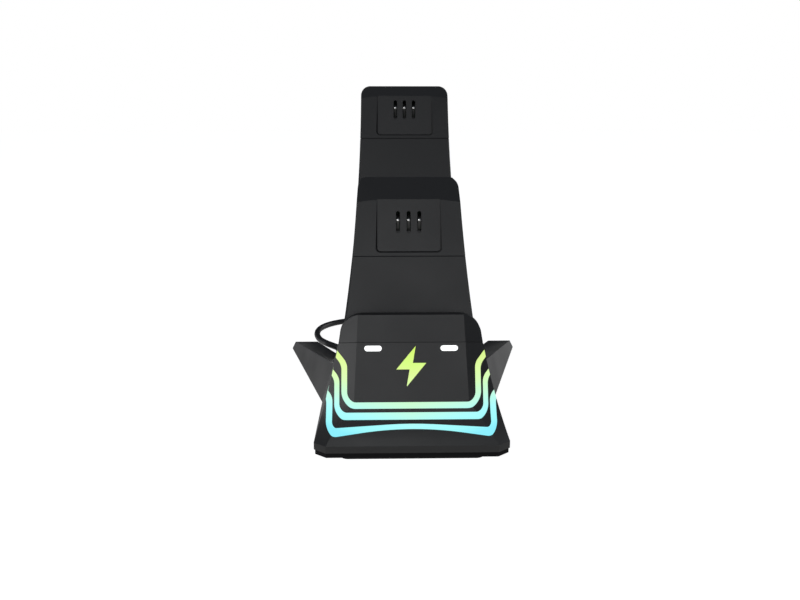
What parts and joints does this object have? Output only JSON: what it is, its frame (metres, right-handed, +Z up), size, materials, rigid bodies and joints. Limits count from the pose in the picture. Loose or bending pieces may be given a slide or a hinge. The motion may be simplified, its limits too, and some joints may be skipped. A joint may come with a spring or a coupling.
{
  "type": "controller charging dock",
  "caption": "Desk charging dock that holds game controllers on stepped leaning towers with sprung contacts, a flared base with lit stripes, swept legs and a captive cable.",
  "frame": {"origin": "middle of the dock's footprint, on the surface it stands on", "axes": "+X to the right seen from the front, +Y to the back, +Z up"},
  "size_m": [0.1374, 0.318, 0.1579],
  "materials": {
    "board": "solder-masked circuit board",
    "cable_jacket": "smooth black cable jacket",
    "carrier_plastic": "black insulator",
    "contact_metal": "plated spring strip",
    "foot_rubber": "soft black pad",
    "lamp": "small lamp packages",
    "light_lower": "milky light guide, lit cyan",
    "light_middle": "milky light guide, lit mint",
    "light_upper": "milky light guide, lit yellow-green",
    "light_white": "milky light guide, lit white",
    "plate_plastic": "matte black",
    "plug_plastic": "moulded black grip",
    "plug_steel": "plain metal shell",
    "screw_steel": "zinc-plated screw",
    "shell_plastic": "fine matte moulded texture, charcoal black",
    "tongue_plastic": "pale insulating plastic"
  },
  "bodies": {
    "dock": {"base_housing": "shell_plastic", "bottom_plate": "plate_plastic", "bottom_screws": "screw_steel", "cable_coil": "cable_jacket", "cable_gland": "cable_jacket", "cable_run": "cable_jacket", "contact_board_middle": "board", "contact_board_rear": "board", "contact_carrier_middle": "carrier_plastic", "contact_carrier_rear": "carrier_plastic", "front_cap": "shell_plastic", "front_foot": "foot_rubber", "light_board": "board", "light_packages": "lamp", "light_strip_lower": "light_lower", "light_strip_middle": "light_middle", "light_strip_upper": "light_upper", "lit_mark": "light_upper", "main_board": "board", "middle_cap": "shell_plastic", "middle_tower_shell": "shell_plastic", "plug_grip": "plug_plastic", "plug_shell": "plug_steel", "plug_tongue": "tongue_plastic", "rear_cap": "shell_plastic", "rear_cover": "shell_plastic", "rear_cover_screws": "screw_steel", "rear_foot_left": "foot_rubber", "rear_foot_right": "foot_rubber", "rear_tower_shell": "shell_plastic", "status_light_left": "light_white", "status_light_right": "light_white"},
    "contact_middle_left": {"contact_middle_left": "contact_metal"},
    "contact_middle_centre": {"contact_middle_centre": "contact_metal"},
    "contact_middle_right": {"contact_middle_right": "contact_metal"},
    "contact_rear_left": {"contact_rear_left": "contact_metal"},
    "contact_rear_centre": {"contact_rear_centre": "contact_metal"},
    "contact_rear_right": {"contact_rear_right": "contact_metal"}
  },
  "joints": [
    {"name": "contact_middle_left_flex", "type": "hinge", "parent": "dock", "child": "contact_middle_left", "pos_m": [-0.005, -0.02173, 0.0887], "axis": [-1, 0, 0], "range_deg": [0, 10], "stiffness_Nm_per_rad": 0.02, "springref_deg": -2.86},
    {"name": "contact_middle_centre_flex", "type": "hinge", "parent": "dock", "child": "contact_middle_centre", "pos_m": [0, -0.02173, 0.0887], "axis": [-1, 0, 0], "range_deg": [0, 10], "stiffness_Nm_per_rad": 0.02, "springref_deg": -2.86},
    {"name": "contact_middle_right_flex", "type": "hinge", "parent": "dock", "child": "contact_middle_right", "pos_m": [0.005, -0.02173, 0.0887], "axis": [-1, 0, 0], "range_deg": [0, 10], "stiffness_Nm_per_rad": 0.02, "springref_deg": -2.86},
    {"name": "contact_rear_left_flex", "type": "hinge", "parent": "dock", "child": "contact_rear_left", "pos_m": [-0.005, 0.05637, 0.1404], "axis": [-1, 0, 0], "range_deg": [0, 10], "stiffness_Nm_per_rad": 0.02, "springref_deg": -2.86},
    {"name": "contact_rear_centre_flex", "type": "hinge", "parent": "dock", "child": "contact_rear_centre", "pos_m": [0, 0.05637, 0.1404], "axis": [-1, 0, 0], "range_deg": [0, 10], "stiffness_Nm_per_rad": 0.02, "springref_deg": -2.86},
    {"name": "contact_rear_right_flex", "type": "hinge", "parent": "dock", "child": "contact_rear_right", "pos_m": [0.005, 0.05637, 0.1404], "axis": [-1, 0, 0], "range_deg": [0, 10], "stiffness_Nm_per_rad": 0.02, "springref_deg": -2.86}
  ]
}
